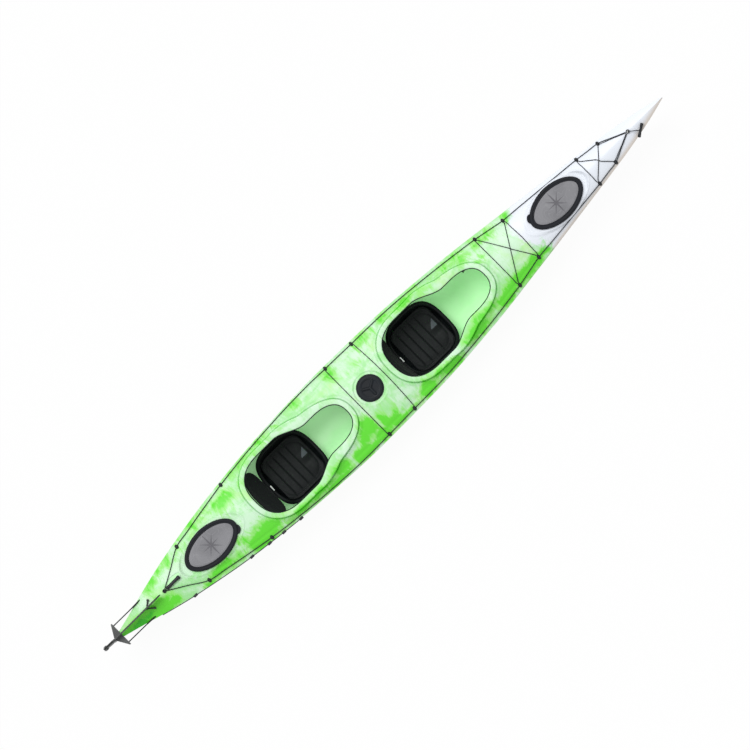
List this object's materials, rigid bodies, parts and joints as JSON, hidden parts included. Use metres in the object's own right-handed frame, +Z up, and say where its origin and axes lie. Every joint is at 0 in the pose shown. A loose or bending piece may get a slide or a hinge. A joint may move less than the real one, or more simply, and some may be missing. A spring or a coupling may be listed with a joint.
{
  "type": "sea kayak",
  "caption": "Tandem sit-in sea kayak with two keyhole cockpits, oval and screw hatches, deck lines and a flip-up steered rudder.",
  "frame": {"origin": "middle of the whole length, rudder included, on the plane that the flat of the keel rests on", "axes": "+X towards the bow, +Y to port, +Z up from the keel"},
  "size_m": [5.668, 0.709, 0.4699],
  "materials": {
    "shell_plastic": "marbled rotomoulded polyethylene, white at the bow, mint and bright green aft, soft gloss",
    "foam": "closed-cell foam, matte",
    "seat_plastic": "semi-gloss moulded black",
    "pad_cover": "smooth padded cover, slight sheen",
    "hatch_rubber": "satin black rubber",
    "hatch_panel_grey": "satin grey moulded panel",
    "black_plastic": "satin black moulded plastic",
    "stainless": "satin stainless steel",
    "cord": "woven dark grey cord"
  },
  "bodies": {
    "hull": {"hull_shell": "shell_plastic", "bulkhead_bow": "foam", "bulkhead_front": "foam", "bulkhead_rear": "foam", "bulkhead_stern": "foam", "front_seat_pan": "seat_plastic", "front_seat_pad": "pad_cover", "rear_seat_pan": "seat_plastic", "rear_seat_pad": "pad_cover", "round_hatch_frame": "black_plastic", "stern_bracket": "black_plastic", "rudder_pin": "stainless", "rudder_chock": "black_plastic", "stern_eye": "black_plastic", "bow_eye": "black_plastic", "lift_line": "cord", "cross_line_aft": "cord", "cross_line_fore": "cord", "foredeck_bungee": "cord", "bow_bungee": "cord", "steering_cable_port": "cord", "steering_cable_starboard": "cord", "deck_line_port": "cord", "deck_line_starboard": "cord", "fitting_1_port": "black_plastic", "fitting_2_port": "black_plastic", "fitting_3_port": "black_plastic", "fitting_4_port": "black_plastic", "fitting_5_port": "black_plastic", "fitting_6_port": "black_plastic", "fitting_7_port": "black_plastic", "fitting_8_port": "black_plastic", "fitting_1_starboard": "black_plastic", "fitting_2_starboard": "black_plastic", "fitting_3_starboard": "black_plastic", "fitting_4_starboard": "black_plastic", "fitting_5_starboard": "black_plastic", "fitting_6_starboard": "black_plastic", "fitting_7_starboard": "black_plastic", "fitting_8_starboard": "black_plastic"},
    "rudder_head": {"rudder_head": "black_plastic", "rudder_yoke": "black_plastic", "blade_bolt": "stainless"},
    "rudder_blade": {"rudder_blade": "black_plastic"},
    "front_hatch": {"front_hatch_cover": "hatch_rubber", "front_hatch_panel": "hatch_panel_grey"},
    "rear_hatch": {"rear_hatch_cover": "hatch_rubber", "rear_hatch_panel": "hatch_panel_grey"},
    "screw_seal": {"round_hatch_seal": "hatch_rubber"},
    "screw_lid": {"round_hatch_lid": "black_plastic"},
    "front_backrest": {"front_backrest": "pad_cover"},
    "rear_backrest": {"rear_backrest": "pad_cover"},
    "front_pedal_port": {"front_pedal_port": "black_plastic"},
    "front_pedal_starboard": {"front_pedal_starboard": "black_plastic"},
    "rear_pedal_port": {"rear_pedal_port": "black_plastic"},
    "rear_pedal_starboard": {"rear_pedal_starboard": "black_plastic"},
    "bow_toggle": {"bow_toggle": "black_plastic", "bow_toggle_cord": "cord"},
    "stern_toggle": {"stern_toggle": "black_plastic", "stern_toggle_cord": "cord"}
  },
  "joints": [
    {"name": "rudder_yaw", "type": "hinge", "parent": "hull", "child": "rudder_head", "pos_m": [-2.7, 0, 0.286], "axis": [0, 0, 1], "range_deg": [-40, 40], "deforming": ["steering_cable_port", "steering_cable_starboard"]},
    {"name": "rudder_flip", "type": "hinge", "parent": "rudder_head", "child": "rudder_blade", "pos_m": [-2.813, 0, 0.4], "axis": [0, -1, 0], "range_deg": [0, 255]},
    {"name": "front_hatch_lift", "type": "slide", "parent": "hull", "child": "front_hatch", "axis": [0, 0, 1], "range_m": [0, 0.25]},
    {"name": "rear_hatch_lift", "type": "slide", "parent": "hull", "child": "rear_hatch", "axis": [0, 0, 1], "range_m": [0, 0.25]},
    {"name": "screw_lid_lift", "type": "slide", "parent": "hull", "child": "screw_seal", "axis": [0, 0, 1], "range_m": [0, 0.2]},
    {"name": "screw_lid_turn", "type": "hinge", "parent": "screw_seal", "child": "screw_lid", "pos_m": [-0.1387, 0, 0.32], "axis": [0, 0, 1], "range_deg": [0, 120]},
    {"name": "front_backrest_tilt", "type": "hinge", "parent": "hull", "child": "front_backrest", "pos_m": [0.1512, 0, 0.092], "axis": [0, 1, 0], "range_deg": [0, 25]},
    {"name": "rear_backrest_tilt", "type": "hinge", "parent": "hull", "child": "rear_backrest", "pos_m": [-1.177, 0, 0.092], "axis": [0, 1, 0], "range_deg": [0, 40]},
    {"name": "front_pedal_port_slide", "type": "slide", "parent": "hull", "child": "front_pedal_port", "axis": [1, 0, 0], "range_m": [-0.1, 0.1]},
    {"name": "front_pedal_starboard_slide", "type": "slide", "parent": "hull", "child": "front_pedal_starboard", "axis": [1, 0, 0], "range_m": [-0.1, 0.1]},
    {"name": "rear_pedal_port_slide", "type": "slide", "parent": "hull", "child": "rear_pedal_port", "axis": [1, 0, 0], "range_m": [-0.06, 0.06]},
    {"name": "rear_pedal_starboard_slide", "type": "slide", "parent": "hull", "child": "rear_pedal_starboard", "axis": [1, 0, 0], "range_m": [-0.06, 0.06]},
    {"name": "bow_toggle_swing", "type": "hinge", "parent": "hull", "child": "bow_toggle", "pos_m": [2.4852, 0, 0.418], "axis": [-0.6332, -0.774, 0], "range_deg": [0, 100]},
    {"name": "stern_toggle_swing", "type": "hinge", "parent": "hull", "child": "stern_toggle", "pos_m": [-2.2262, 0, 0.374], "axis": [0, -1, 0], "range_deg": [0, 80]}
  ],
  "couplings": [
    {"joint": "rear_pedal_port_slide", "follows": "rudder_yaw", "m_per_rad": -0.08},
    {"joint": "rear_pedal_starboard_slide", "follows": "rudder_yaw", "m_per_rad": 0.08}
  ]
}
